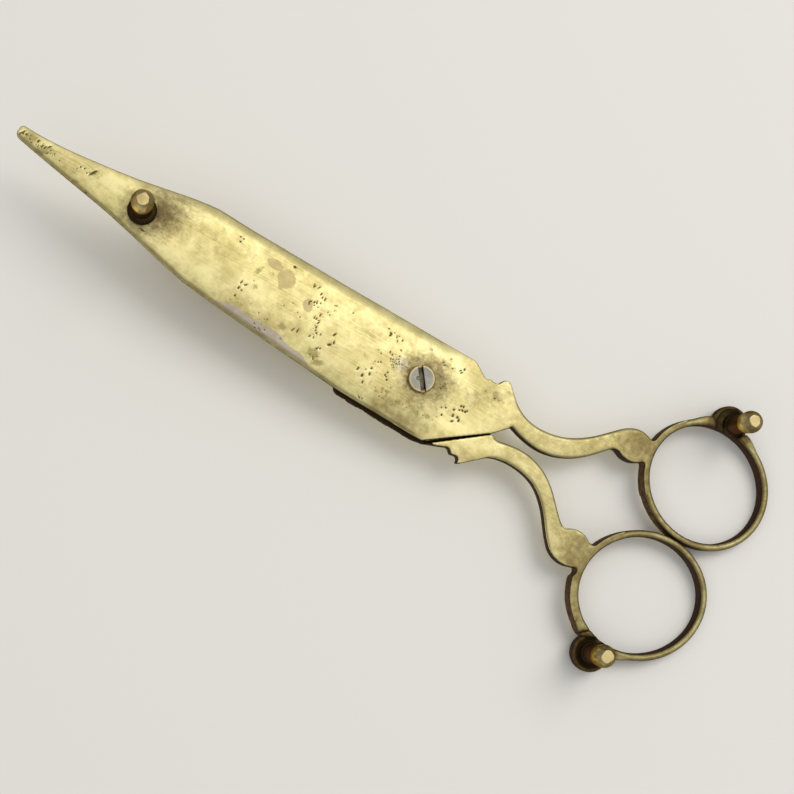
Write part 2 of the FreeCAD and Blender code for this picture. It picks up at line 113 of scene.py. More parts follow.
# The plate's two long edges as x, y.
EDGE_FAR = [
    (-8.0, 9.0), (0.0, 9.1), (30.0, 8.3), (52.0, 8.05), (57.0, 7.3), (68.0, 4.7), (79.0, 2.75),
    (93.2, 1.6),
]
EDGE_NEAR = [
    (-6.0, -10.6), (14.0, -10.7), (24.0, -10.1), (40.0, -9.2), (51.0, -8.35), (58.0, -7.0), (70.0, -4.6),
    (82.0, -2.8), (93.2, -1.0),
]
FRONT_FOOT = (65.0, -0.6)
# The finger rings: middle x and y, two half lengths, direction in degrees. Then the middles of
# their foot pads, and the two ends of the crack in the press lever's ring.
RINGS = [(-62.05, 12.5, 13.4, 12.3, 20.6), (-61.2, -14.35, 13.6, 12.6, -32.0)]
PADS = [(-60.5, 26.2), (-58.2, -29.6)]
CRACK = np.array([(-53.7, -27.6), (-55.75, -25.55)])

# How far age has moved the surfaces, in mm.
ROLL_FAR, ROLL_NEAR, CROWN = 0.55, 0.42, 0.42
KNUCKLE_SWELL, WEB_SWELL, HUB_SWELL = 0.56, 0.75, 0.55
CRACK_DEPTH, PIT_DEPTH, PUNCH_DEPTH = 0.16, 0.08, 0.22
LEVER_RIPPLE, SHEET_RIPPLE, SOLDER_RIPPLE = 0.022, 0.05, 0.1
RING_START = -46.5  # the rings lie behind this x
RING_OUTER = 1.16  # outside a ring's band, as a share of its middle line


def along(table, x):
    """A border's y at each x."""
    table = np.array(sorted(table))
    return np.interp(x, table[:, 0], table[:, 1])


def blob(p, x, y, long, wide, angle):
    """Squared distance from an oval's centre, 1 at its border."""
    turn = np.radians(angle)
    dx, dy = p[:, 0] - x, p[:, 1] - y
    u = (dx * np.cos(turn) + dy * np.sin(turn)) / long
    v = (dy * np.cos(turn) - dx * np.sin(turn)) / wide
    return u * u + v * v


def stains(p, table):
    """The deepest stain at each point, 0 to 1, as a soft hill with 0.5 at its border."""
    best = np.zeros(len(p))
    for x, y, long, wide, angle, depth in table:
        hill = depth / (1 + blob(p, x, y, long, wide, angle) ** 1.5)
        best = np.maximum(best, hill)
    return best


def nick_table():
    """A row for each nick: x, y, half length, half width, direction."""
    rng = np.random.default_rng(21)
    rows = []
    for x, y, reach_x, reach_y, count, long, wide, angle in NICKS:
        start = rng.uniform(0, 2 * np.pi)
        for k in range(count):
            turn, out = start + k * GOLDEN_TURN, np.sqrt((k + 0.5) / count)
            astray = rng.uniform(-0.32, 0.32, 2)
            rows.append((
                x + reach_x * (out * np.cos(turn) + astray[0]),
                y + reach_y * (out * np.sin(turn) + astray[1]),
                long * rng.uniform(0.6, 1.3),
                wide * rng.uniform(0.7, 1.2),
                angle + rng.normal() * 18,
            ))
    return np.array(rows)


def speck_table():
    """A row for each speck, in the same form."""
    rng = np.random.default_rng(7)
    rows = []
    for x, y, sx, sy, count in SPECKS:
        for _ in range(count):
            size = rng.uniform(0.06, 0.12)
            rows.append((
                x + rng.normal() * sx * 0.6,
                y + rng.normal() * sy * 0.6,
                size * rng.uniform(1, 1.9),
                size,
                rng.uniform(60, 130),
            ))
    return np.array(rows)


ALL_PITS = np.vstack([nick_table(), speck_table()])


def ripple(p, size, seed):
    """A gentle unevenness, about -1 to 1, with waves of that size in mm."""
    rng = np.random.default_rng(seed)
    total = np.zeros(len(p))
    for _ in range(7):
        way = rng.normal(size=3)
        way *= 2 * np.pi / (size * rng.uniform(0.7, 1.8)) / np.linalg.norm(way)
        total += np.sin(p @ way + rng.uniform(0, 2 * np.pi))
    return total / 3.5


def step(x, low, high):
    t = np.clip((x - low) / (high - low), 0, 1)
    return t * t * (3 - 2 * t)


# ---------------------------------------------------------------- meshes


def even_mesh(node, voxel, passes):
    """A copy of a CAD part with an even fine mesh and softened corners."""
    ob = bpy.data.objects.new(node + "_aged", frame["nodes"][node].data.copy())
    bpy.context.scene.collection.objects.link(ob)
    weld = ob.modifiers.new("weld", "WELD")
    weld.merge_threshold = 1e-6
    remesh = ob.modifiers.new("even", "REMESH")
    remesh.mode = "VOXEL"
    remesh.voxel_size = voxel * MM
    smooth = ob.modifiers.new("soften", "SMOOTH")
    smooth.factor = 0.5
    smooth.iterations = passes
    shaped = bpy.data.meshes.new_from_object(
        ob.evaluated_get(bpy.context.evaluated_depsgraph_get())
    )
    ob.modifiers.clear()
    ob.data = shaped
    shaped.name = node + "_aged"
    return ob


def points(mesh):
    """A mesh's points in mm from the pivot."""
    p = np.empty(len(mesh.vertices) * 3)
    mesh.vertices.foreach_get("co", p)
    return (p.reshape(-1, 3) - ORIGIN) / MM


def place(mesh, p, node):
    """Writes the points back, none outside the CAD part's own box."""
    low, high = (np.array(corner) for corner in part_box(node))
    mesh.vertices.foreach_set("co", np.clip(p * MM + ORIGIN, low, high).ravel())
    mesh.update()


def normals(mesh):
    n = np.empty(len(mesh.vertices) * 3)
    mesh.vertex_normals.foreach_get("vector", n)
    return n.reshape(-1, 3)


def links(mesh):
    e = np.empty(len(mesh.edges) * 2, dtype=np.int32)
    mesh.edges.foreach_get("vertices", e)
    return e.reshape(-1, 2)


def spread(values, e, rounds):
    """Values at the points averaged with their neighbours', a few times over."""
    count = np.bincount(e.ravel(), minlength=len(values)).reshape(-1, 1)
    for _ in range(rounds):
        total = np.empty_like(values)
        for k in range(values.shape[1]):
            total[:, k] = np.bincount(e[:, 0], values[e[:, 1], k], len(values))
            total[:, k] += np.bincount(e[:, 1], values[e[:, 0], k], len(values))
        values = (values + total / count) / 2
    return values


def refine(ob, wanted):
    """Splits the faces whose middle is wanted into four."""
    work = bmesh.new()
    work.from_mesh(ob.data)
    middles = np.array([f.calc_center_median()[:] for f in work.faces])
    chosen = wanted((middles - ORIGIN) / MM)
    faces = list(work.faces)
    edges = {e for i in np.flatnonzero(chosen) for e in faces[i].edges}
    bmesh.ops.subdivide_edges(work, edges=list(edges), cuts=1, use_grid_fill=True)
    bmesh.ops.triangulate(work, faces=[f for f in work.faces if len(f.verts) > 4])
    work.to_mesh(ob.data)
    work.free()


def note(mesh, name, values):
    """Keeps a value per point for the materials to read."""
    layer = mesh.attributes.new(name, "FLOAT", "POINT")
    layer.data.foreach_set("value", np.clip(values, 0, 1).astype(np.float32))


def pit_field(p, table, margin=2.6):
    """How deep in a pit each point of the underside is, 0 to 1."""
    depth = np.zeros(len(p))
    order = np.argsort(p[:, 0])
    xs = p[order, 0]
    for x, y, long, wide, angle in table:
        reach = margin * long
        near = order[np.searchsorted(xs, x - reach) : np.searchsorted(xs, x + reach)]
        near = near[np.abs(p[near, 1] - y) < reach]
        hollow = np.exp(-1.1 * blob(p[near], x, y, long, wide, angle) ** 1.5)
        depth[near] = np.maximum(depth[near], hollow)
    return depth


def oval_reach(p, ring):
    """How far out each point is from a ring's centre, 1 on its middle line."""
    return np.sqrt(blob(p, ring[0], ring[1], ring[2], ring[3], ring[4]))


def shape_plate(p):
    """The long plate's rolled edges on the underside."""
    far = along(EDGE_FAR, p[:, 0]) - p[:, 1]
    near = p[:, 1] - along(EDGE_NEAR, p[:, 0])
    on_plate = step(p[:, 0], -9.0, -3.0)
    lift = ROLL_FAR * np.clip(1 - far / 2.5, 0, 1) ** 2 * step(p[:, 0], -9.0, 2.0)
    lift *= 1 - 0.5 * step(p[:, 0], 55.0, 75.0)
    lift += ROLL_NEAR * np.clip(1 - near / 0.95, 0, 1) ** 1.5 * on_plate
    middle = (along(EDGE_FAR, p[:, 0]) + along(EDGE_NEAR, p[:, 0])) / 2 - 1.0
    lift += CROWN * ((p[:, 1] - middle) / 9.5) ** 2
    low = np.clip(1 - p[:, 2] / 1.5, 0, 1) * (p[:, 2] < 1.5)
    p[:, 2] += lift * low * on_plate
    return p


def from_line(p, line):
    """Each point's distance from a short line, and from its middle along it."""
    way = (line[1] - line[0]) / np.linalg.norm(line[1] - line[0])
    off = p[:, :2] - line.mean(0)
    return np.abs(off[:, 0] * way[1] - off[:, 1] * way[0]), np.abs(off @ way)


def shape_levers(node, p, n, e):
    """Softened shanks and rings, full knuckles, and webs that join the pads to the rings."""
    worn = spread(p, e, 14)
    soft = step(-p[:, 0], 12, 24) * (0.55 + 0.45 * step(-p[:, 0], 44, 48))
    p = p + (worn - p) * soft[:, None]
    knuckle = step(-p[:, 0], 39.6, 44.6) * (p[:, 0] > -52)
    for ring in RINGS:
        knuckle = knuckle * step(oval_reach(p, ring), 1.0, 1.06)
    p[:, 2] += KNUCKLE_SWELL * knuckle * np.clip((p[:, 2] - 1.7) / 1.3, -1, 1)
    for ring, pad in zip(RINGS, PADS):
        out = p[:, :2] - ring[:2]
        out /= np.linalg.norm(out, axis=1, keepdims=True)
        far = np.hypot(p[:, 0] - pad[0], p[:, 1] - pad[1])
        web = step(far, 3.2, 4.3) * (1 - step(far, 4.3, 8.6)) * step((n[:, :2] * out).sum(1), 0.0, 0.7)
        reach = oval_reach(p, ring)
        web = web * step(reach, 1.0, 1.02) * (1 - step(reach, 1.065, 1.10)) * (p[:, 0] < -40)
        p[:, :2] += WEB_SWELL * web[:, None] * out
    if node == "base_lever":
        p = shape_plate(p)
    if node == "press_lever":
        hub = (p[:, 1] < -9.8) & (p[:, 2] > 1.84)
        reach = step(p[:, 0], -8, -4) * (1 - step(p[:, 0], 12.5, 16))
        bite = np.clip(ripple(p, 1.3, 11), 0, 1) * 0.3 + np.clip(ripple(p, 3.1, 12), 0, 1) * 0.2
        p[:, 1] += hub * reach * (bite - HUB_SWELL)
        across, lengthwise = from_line(p, CRACK)
        groove = (lengthwise < 1.7) & (across < 0.4)
        p = p - n * (CRACK_DEPTH * np.clip(1 - across / 0.3, 0, 1) * groove)[:, None]
    return p + n * LEVER_RIPPLE * ripple(p, 9.0, 3)[:, None]


def shape_foot(p, n, seed):
    """A turned foot's knob, worn in small flats round its end."""
    rng = np.random.default_rng(seed)
    axis = np.append((p[:, :2].min(0) + p[:, :2].max(0)) / 2, -8.6)
    for k in range(9):
        turn = np.radians(k * 40 + rng.uniform(-12, 12))
        tilt = np.radians(rng.uniform(34, 78))
        way = np.array([np.sin(tilt) * np.cos(turn), np.sin(tilt) * np.sin(turn), -np.cos(tilt)])
        out = (p - axis) @ way
        knob = (p[:, 2] < -6.6) & (n @ way > 0.2)
        limit = np.quantile(out[knob], 0.985) - rng.uniform(0.04, 0.16)
        over = np.where(knob, np.clip(out - limit, 0, None), 0)
        p = p - over[:, None] * way * 0.85
    return p


SLOT_ANGLE = 52.0


def shape_screw(p):
    """A punch mark beside the slot."""
    turn = np.radians(SLOT_ANGLE)
    centre = np.array([np.sin(turn), -np.cos(turn)]) * 0.75 + np.array([np.cos(turn), np.sin(turn)]) * 0.15
    away = np.hypot(p[:, 0] - centre[0], p[:, 1] - centre[1])
    dent = PUNCH_DEPTH * np.clip(1 - (away / 0.42) ** 2, 0, 1)
    p[:, 2] += np.where(p[:, 2] < -1.0, dent, 0)
    return p


# The size in mm of each piece's even mesh, and how many times its corners are softened.
VOXELS = {
    "base_lever": (0.2, 6),
    "press_lever": (0.2, 6),
    "wick_box_wall": (0.18, 5),
    "wick_box_lid": (0.16, 5),
    "box_solder": (0.1, 6),
    "press_plate": (0.15, 4),
    "press_plate_rivets": (0.09, 4),
    "front_foot": (0.1, 4),
    "base_ring_foot": (0.1, 4),
    "press_ring_foot": (0.1, 4),
    "pivot_screw": (0.07, 3),
    "pivot_washer": (0.1, 3),
    "pivot_nut": (0.1, 4),
}
PIECES = {}
for node, (voxel, passes) in VOXELS.items():
    ob = even_mesh(node, voxel, passes)
    p, n = points(ob.data), normals(ob.data)
    if node.endswith("lever"):
        p = shape_levers(node, p, n, links(ob.data))
    elif node.endswith("foot"):
        p = shape_foot(p, n, len(PIECES))
    elif node == "pivot_screw":
        p = shape_screw(p)
    elif node.startswith("wick_box") or node == "press_plate":
        p = p + n * SHEET_RIPPLE * ripple(p, 11.0, 5)[:, None]
    elif node == "box_solder":
        p = p - n * SOLDER_RIPPLE * np.clip(ripple(p, 2.2, 6) + 0.6, 0, 1.6)[:, None]
    place(ob.data, p, node)
    PIECES[node] = ob
    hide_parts(node)
    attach(ob, BODY[node])


def near_pit(p):
    """Where the underside needs finer faces: about the pits."""
    chosen = np.zeros(len(p), dtype=bool)
    under = np.flatnonzero(p[:, 2] < 0.3)
    chosen[under] = pit_field(p[under], ALL_PITS + [0, 0, 0.16, 0.16, 0]) > 0.3
    return chosen


refine(PIECES["base_lever"], near_pit)
base = PIECES["base_lever"].data
p, n = points(base), normals(base)
under = (n[:, 2] < -0.5) & (p[:, 2] < 0.9)
pits = np.where(under, pit_field(p, ALL_PITS), 0)
p[:, 2] += PIT_DEPTH * pits
place(base, p, "base_lever")

# ---------------------------------------------------------------- wear on each piece
# Three marks per point: how tarnished, with painted shade on side walls and ring walls and painted dark zones on
# the underside; dirt in corners and where parts meet, with painted shade there, on side walls and on the hub's
# flank; and where rubbed bright.

trees = {}
for node, ob in PIECES.items():
    q = points(ob.data)
    tree = KDTree(len(q))
    for i, at in enumerate(q[::3]):
        tree.insert(at, i)
    tree.balance()
    trees[node] = (tree, q.min(0) - 2.0, q.max(0) + 2.0)


def contact(node, p):
    """How close each point is to another part: 1 touching, 0 from 1.5 mm away."""
    close = np.full(len(p), 9.0)
    for other, (tree, low, high) in trees.items():
        if other == node:
            continue
        for i in np.flatnonzero(((p > low) & (p < high)).all(1)):
            close[i] = min(close[i], tree.find(p[i])[2])
    return np.clip(1 - close / 1.5, 0, 1)


def patch(p, oval, full, gone):
    """1 in an oval's middle, fading to 0 outside it; full and gone are shares of its size."""
    return 1 - step(np.sqrt(blob(p, *oval)), full, gone)


def lever_age_and_shade(node, p, n, edge, wall):
    """Tarnish, rubbed edges and the dirt about the foot pads of a lever, with painted shade on its side walls and
    ring walls and painted dark zones on its underside.
    """
    age_and_shade = 0.05 + 0.32 * step(-p[:, 0], 12, 26) + 0.33 * step(-p[:, 0], 38, 46)
    # Side walls darker: painted shade and painted dark reflection, with tarnish.
    age_and_shade = np.maximum(age_and_shade, wall * 1.15)
    padded = np.zeros(len(p))
    for ring, pad in zip(RINGS, PADS):
        reach = oval_reach(p, ring)
        band = (reach < RING_OUTER) & (p[:, 0] < RING_START)
        inner = band & (reach < 1.0)
        # Ring walls darker than the rest of the ring: painted shade over the rings' tarnish.
        age_and_shade = np.where(band, 0.70 + 0.5 * wall + 0.2 * inner * wall, age_and_shade)
        edge = np.where(band, 0.6 * edge, edge)
        from_pad = np.hypot(p[:, 0] - pad[0], p[:, 1] - pad[1])
        away = step(from_pad, 3.6, 7.5)
        age_and_shade = np.maximum(age_and_shade, 1.35 * (1 - away))
        edge = edge * (0.35 + 0.65 * away)
        padded = np.maximum(padded, 0.62 * (1 - step(from_pad, 3.0, 5.4)))
    if node == "base_lever":
        near = p[:, 1] - along(EDGE_NEAR, p[:, 0])
        # Darker zones on the underside along the near edge and in broad patches: painted shade standing in for
        # darker reflections, with tarnish.
        dull = 0.30 * (1 - step(near, 0.5, 4.5)) * step(p[:, 0], -8, 0)
        dull += 0.38 * patch(p, (-2.0, -8.0, 13.0, 4.6, 175), 0.3, 1.1)
        dull += 0.26 * patch(p, (35.0, -5.0, 16.0, 4.2, 176), 0.2, 1.1)
        dull += 0.16 * patch(p, (50.0, 0.5, 9.0, 6.0, 150), 0.2, 1.1)
    else:
        # Darker beside the gap at the press lever's root: painted shade with tarnish.
        dull = 0.4 * patch(p, (-17.0, -9.8, 8.0, 3.4, 5), 0.2, 1.1)
    return age_and_shade + np.where(n[:, 2] < -0.5, dull, 0), edge, padded


def lever_grime_and_shade(node, p, n, wall, grime_and_shade):
    """Painted shade and dirt on a lever's side walls, dirt in the crack, and the hub's flank painted black as
    shade.
    """
    # Side walls darkened: painted shade and painted dark reflection, with dirt.
    side = step(wall, 0.35, 0.9) * step(n[:, 2], -0.9, -0.1)
    banded = np.zeros(len(p), dtype=bool)
    for ring in RINGS:
        reach = oval_reach(p, ring)
        banded |= (reach > 0.99) & (reach < RING_OUTER) & (p[:, 0] < RING_START)
    grime_and_shade = np.maximum(grime_and_shade, side * np.where(banded, 0.7, np.where(p[:, 0] < 20, 1.0, 0.5)))
    if node == "press_lever":
        across, lengthwise = from_line(p, CRACK)
        grime_and_shade = np.maximum(grime_and_shade, 1.2 * np.clip(1 - across / 0.32, 0, 1) * (lengthwise < 1.8))
        # The hub's flank painted near black: painted shade.
        hub_side = (p[:, 0] > -9) & (p[:, 0] < 17) & (p[:, 1] < -10.0) & (n[:, 2] < 0.7)
        grime_and_shade = np.where(hub_side, 1.0, grime_and_shade)
    return grime_and_shade


def foot_age(node, p, n):
    """A foot is dark at its stem and bright on its knob."""
    bright = 0.95 if node == "front_foot" else 0.78
    nose = step(-n[:, 2], 0.2, 0.8)
    return 1.3 - (bright - 0.22 * (1 - nose)) * step(-p[:, 2], 5.6, 8.0)


def note_plate_marks(mesh, p):
    """The solder, stains, dark halos and chalky haze on the plate's underside. The halos are stains with painted
    shade beside the foot and the screw, and a painted dark reflection along the far edge.
    """
    near = p[:, 1] - along(EDGE_NEAR, p[:, 0])
    width = SOLDER_WIDTH * (1 - ((p[:, 0] - SOLDER_MIDDLE) / SOLDER_HALF) ** 2)
    width += 0.35 * ripple(p, 4.0, 8)
    inside = np.minimum(width - near, near - 0.55)
    ends = np.minimum(p[:, 0] - 18.0, 46.8 - p[:, 0])
    note(mesh, "solder", np.where(under, 0.5 + np.minimum(inside, ends), 0))
    note(mesh, "rust", np.where(under, stains(p, RUST_STAINS), 0))
    note(mesh, "olive", np.where(under, stains(p, OLIVE_STAINS), 0))
    # Dark halos: stains about the foot and the screw with painted shade beside them, and a painted dark reflection
    # along the far edge.
    by_foot = patch(p, (FRONT_FOOT[0] - 2.2, FRONT_FOOT[1] + 1.0, 9.6, 6.9, 150), 0.1, 1.2)
    by_screw = patch(p, (-0.9, 0.4, 8.4, 7.4, 0), 0.28, 1.2)
    by_edge = step(p[:, 1] - along(EDGE_FAR, p[:, 0]), -1.0, -0.1) * step(p[:, 0], -4, 4)
    by_shank = patch(p, (-13.5, 4.0, 6.0, 3.4, 140), 0.3, 1.2)
    halo_and_shade = np.maximum.reduce([1.15 * by_foot, 0.95 * by_screw, 0.34 * by_edge, 0.42 * by_shank])
    note(mesh, "halo_and_shade", np.where(under, halo_and_shade, 0) / 1.2)
    note(mesh, "chalk", np.where(under, patch(p, (5.0, 0.8, 3.2, 2.3, 60), 0.2, 1.3), 0))


for node, ob in PIECES.items():
    mesh = ob.data
    p, n, e = points(mesh), normals(mesh), links(mesh)
    bend = ((p - spread(p, e, 8)) * n).sum(1)
    bend = spread(bend[:, None], e, 2)[:, 0]
    edge = np.clip((bend - 0.012) / 0.05, 0, 1)
    nook = np.clip((-bend - 0.005) / 0.04, 0, 1)
    touch = contact(node, p)
    age_and_shade = np.full(len(p), 0.3)
    if node.endswith("lever"):
        wall = step(1 - np.abs(n[:, 2]), 0.25, 0.75)
        lapped = (np.abs(n[:, 2]) > 0.8) & (p[:, 0] > -20)
        age_and_shade, edge, padded = lever_age_and_shade(node, p, n, edge, wall)
        # Darker where parts meet and in concave corners: dirt, with painted shade standing in for the shade there.
        grime_and_shade = np.clip(0.9 * touch**1.5 * (1 - 0.5 * lapped) + 0.8 * nook, 0, 1)
        grime_and_shade = lever_grime_and_shade(node, p, n, wall, np.maximum(grime_and_shade, padded))
    else:
        # Darker where parts meet and in concave corners: dirt with painted shade.
        grime_and_shade = np.clip(0.9 * touch**1.5 + 0.8 * nook, 0, 1)
    rub = np.clip(edge, 0, 1)
    if node.endswith("foot"):
        age_and_shade = foot_age(node, p, n)
        grime_and_shade = np.maximum(grime_and_shade, 0.55 * (1 - step(-p[:, 2], 5.0, 6.6)))
        rub = np.maximum(0.4 * rub, step(-n[:, 2], 0.55, 0.9) * step(-p[:, 2], 9.5, 10.5))
    if node == "pivot_screw":
        age_and_shade = 0.2 + 0.8 * (np.abs(p[:, 2] + 0.5) < 0.25)
        note(mesh, "rim", step(np.hypot(p[:, 0], p[:, 1]), 2.2, 2.5))
    note(mesh, "age_and_shade", age_and_shade / 1.5)
    note(mesh, "grime_and_shade", grime_and_shade)
    note(mesh, "rub", rub)
    if node == "base_lever":
        note(mesh, "pit", pits)
        note_plate_marks(mesh, p)

# ---------------------------------------------------------------- materials


def rgb(r, g, b):
    """A colour given in the usual 0 to 255."""
    shares = (r / 255, g / 255, b / 255)
    return tuple(((c + 0.055) / 1.055) ** 2.4 if c > 0.04 else c / 12.92 for c in shares) + (1.0,)


class Look:
    """A material under construction."""

    def __init__(self, name):
        self.mat = bpy.data.materials.new(name)
        self.mat.use_nodes = True
        self.tree = self.mat.node_tree
        self.shader = self.tree.nodes["Principled BSDF"]
        where = self.tree.nodes.new("ShaderNodeTexCoord").outputs["Object"]
        self.where = self.vector("SCALE", where, 1 / MM)

    def put(self, socket, value):
        if hasattr(value, "links"):
            self.tree.links.new(value, socket)
        else:
            socket.default_value = value

    def vector(self, operation, a, b):
        node = self.tree.nodes.new("ShaderNodeVectorMath")
        node.operation = operation
        self.put(node.inputs[0], a)
        self.put(node.inputs["Scale" if operation == "SCALE" else 1], b)
        return node.outputs[0]

    def math(self, operation, a, b=0.0):
        node = self.tree.nodes.new("ShaderNodeMath")
        node.operation = operation
        self.put(node.inputs[0], a)
        self.put(node.inputs[1], b)
        return node.outputs[0]

    def turned(self, degrees):
        """The place in mm, turned about the vertical."""
        node = self.tree.nodes.new("ShaderNodeMapping")
        node.inputs["Rotation"].default_value = (0, 0, np.radians(degrees))
        self.put(node.inputs["Vector"], self.where)
        return node.outputs["Vector"]

    def noise(self, stretch, detail=3.0, rough=0.55, shift=0.0, where=None):
        """Noise with that many cycles per mm along x, y and z."""
        if not isinstance(stretch, tuple):
            stretch = (stretch,) * 3
        at = self.vector("MULTIPLY", where or self.where, stretch)
        at = self.vector("ADD", at, (shift, shift * 0.7, shift * 1.3))
        node = self.tree.nodes.new("ShaderNodeTexNoise")
        node.inputs["Scale"].default_value = 1.0
        node.inputs["Detail"].default_value = detail
        node.inputs["Roughness"].default_value = rough
        self.put(node.inputs["Vector"], at)
        return node.outputs["Fac"]

    def mark(self, name):
        node = self.tree.nodes.new("ShaderNodeAttribute")
        node.attribute_name = name
        return node.outputs["Fac"]

    def ramp(self, value, low, high, start=0.0, end=1.0):
        node = self.tree.nodes.new("ShaderNodeMapRange")
        node.interpolation_type = "SMOOTHSTEP"
        self.put(node.inputs["Value"], value)
        for name, number in (("From Min", low), ("From Max", high), ("To Min", start), ("To Max", end)):
            node.inputs[name].default_value = number
        return node.outputs["Result"]

    def mix(self, share, a, b):
        node = self.tree.nodes.new("ShaderNodeMix")
        node.data_type = "RGBA"
        self.put(node.inputs["Factor"], share)
        self.put(node.inputs[6], a)
        self.put(node.inputs[7], b)
        return node.outputs[2]

    def add(self, *parts):
        total = parts[0]
        for part in parts[1:]:
            total = self.math("ADD", total, part)
        return total

    def times(self, a, b):
        return self.math("MULTIPLY", a, b)

    def finish(self, colour, rough, height, metal):
        self.put(self.shader.inputs["Base Color"], colour)
        self.put(self.shader.inputs["Roughness"], rough)
        self.put(self.shader.inputs["Metallic"], metal)
        self.put(self.shader.inputs["Specular Tint"], (0.42, 0.34, 0.23, 1.0))
        bump = self.tree.nodes.new("ShaderNodeBump")
        bump.inputs["Strength"].default_value = 1.0
        bump.inputs["Distance"].default_value = MM
        self.put(bump.inputs["Height"], height)
        self.put(self.shader.inputs["Normal"], bump.outputs["Normal"])
        return self.mat


SCRATCHES = [(3.0, 0.60), (-7.0, 0.63), (24.0, 0.67)]  # direction in degrees, and how rare


def plate_marks(look, mottle, colour, roughness, metal):
    """Halos of stain and painted shade, haze, stains, solder and pits over the brass of the long plate."""
    fine = look.noise(2.4, 4.0, 0.6, 21.0)
    soft = look.math("SUBTRACT", fine, 0.5)
    # The halos: stains, with painted shade by the foot and the screw and a painted dark reflection along the far
    # edge.
    halo_and_shade = look.add(look.mark("halo_and_shade"), look.times(soft, 0.35), look.times(mottle, 0.9), -0.5)
    halo_and_shade = look.ramp(halo_and_shade, 0.0, 1.05)
    flour = look.math("SUBTRACT", look.noise(1.3, 5.0, 0.72, 33.0), 0.5)
    chalk = look.ramp(look.add(look.mark("chalk"), look.times(flour, 1.8)), 0.55, 1.25)
    olive = look.ramp(look.add(look.mark("olive"), look.times(soft, 1.1)), 0.25, 0.75)
    rust = look.ramp(look.add(look.mark("rust"), look.times(soft, 0.35)), 0.40, 0.52)
    solder = look.ramp(look.add(look.mark("solder"), look.times(soft, 0.5)), 0.47, 0.56)
    pit = look.ramp(look.add(look.mark("pit"), look.times(soft, 0.6)), 0.20, 0.75)
    for cover, share, tone in (
        (halo_and_shade, 0.9, rgb(98, 80, 52)),
        (chalk, 0.5, rgb(214, 210, 196)),
        (olive, 0.62, rgb(132, 120, 66)),
        (rust, 0.55, rgb(148, 126, 90)),
        (solder, 0.9, rgb(184, 171, 155)),
        (pit, 0.92, rgb(84, 68, 36)),
    ):
        colour = look.mix(look.times(cover, share), colour, tone)
    roughness = look.add(
        roughness, look.times(halo_and_shade, 0.12), look.times(solder, 0.12), look.times(pit, 0.2)
    )
    duller = look.add(look.times(pit, 0.4), look.times(halo_and_shade, 0.2), look.times(rust, 0.25))
    return colour, roughness, look.math("SUBTRACT", metal, duller)


def worn_brass(name, clean, dull, antique_and_shade, dirt_and_shade, brush, rough=0.34, extra_age=0.0, marked=False, rim=None):
    """Old brass: brushed and rubbed where clean, brown where tarnished and where shade is painted, black where
    dirty and where shade is painted in corners, between parts and on side walls.
    brush gives the cycles per mm of its fine scratches along x, y and z."""
    look = Look(name)
    cloud = look.noise(0.16, 4.0, 0.6, 3.0)
    mottle = look.noise(0.9, 5.0, 0.65, 9.0)
    grain = look.noise(6.0, 3.0, 0.6, 1.0)
    streak = look.noise(brush, 3.0, 0.7, 5.0)
    age_and_shade, grime_and_shade, rub = look.mark("age_and_shade"), look.mark("grime_and_shade"), look.mark("rub")

    tone = look.add(look.times(cloud, 0.75), look.times(mottle, 0.15), look.times(streak, 0.10))
    tone = look.ramp(tone, 0.34, 0.66)
    colour = look.mix(tone, clean, dull)
    patchy = look.add(look.times(age_and_shade, 1.5), look.times(mottle, 0.5), look.times(cloud, 0.4))
    patchy = look.math("ADD", patchy, -0.45 + extra_age)
    patchy = look.math("SUBTRACT", patchy, look.times(rub, 0.5))
    # Brown for tarnish, and for the painted shade carried with it.
    tarnish_and_shade = look.ramp(patchy, 0.10, 1.05)
    colour = look.mix(tarnish_and_shade, colour, antique_and_shade)
    # Near black for dirt, and for painted shade in corners, between parts and on side walls.
    dirty_and_shaded = look.ramp(look.add(grime_and_shade, look.times(mottle, 0.5), look.times(grain, 0.2), -0.35), 0.25, 0.85)
    colour = look.mix(dirty_and_shaded, colour, dirt_and_shade)
    lines = [
        look.ramp(look.noise((0.05, 4.6, 4.6), 2.0, 0.5, 11.0 * k, look.turned(angle)), low, low + 0.07)
        for k, (angle, low) in enumerate(SCRATCHES)
    ]
    scratch = look.math("MAXIMUM", look.math("MAXIMUM", lines[0], lines[1]), lines[2])
    scratch = look.times(scratch, look.ramp(cloud, 0.35, 0.6, 0.25, 1.0))
    colour = look.mix(look.times(scratch, 0.24), colour, dirt_and_shade)
    height = look.add(look.times(streak, 0.005), look.times(grain, 0.003), look.times(mottle, 0.012))
    height = look.math("SUBTRACT", height, look.times(scratch, 0.002))
    blotches = look.ramp(mottle, 0.3, 0.7)
    roughness = look.add(look.times(blotches, 0.10), look.times(streak, 0.10), rough - 0.10)
    roughness = look.add(roughness, look.times(tarnish_and_shade, 0.14), look.times(dirty_and_shaded, 0.25))
    metal = look.math("SUBTRACT", 1.0, look.times(dirty_and_shaded, 0.2))
    if rim:
        colour = look.mix(look.times(look.mark("rim"), 0.85), colour, rim)
    if marked:
        colour, roughness, metal = plate_marks(look, mottle, colour, roughness, metal)
    roughness = look.math("MINIMUM", roughness, 0.85)
    return look.finish(colour, roughness, height, look.math("MAXIMUM", metal, 0.2))


# Brush marks per mm along x, y and z: lengthwise on the levers, level round upright walls.
ALONG = (0.12, 3.2, 3.2)
LEVEL = (0.6, 0.6, 5.0)
CLEAN = rgb(230, 217, 156)
DULL = rgb(200, 185, 122)
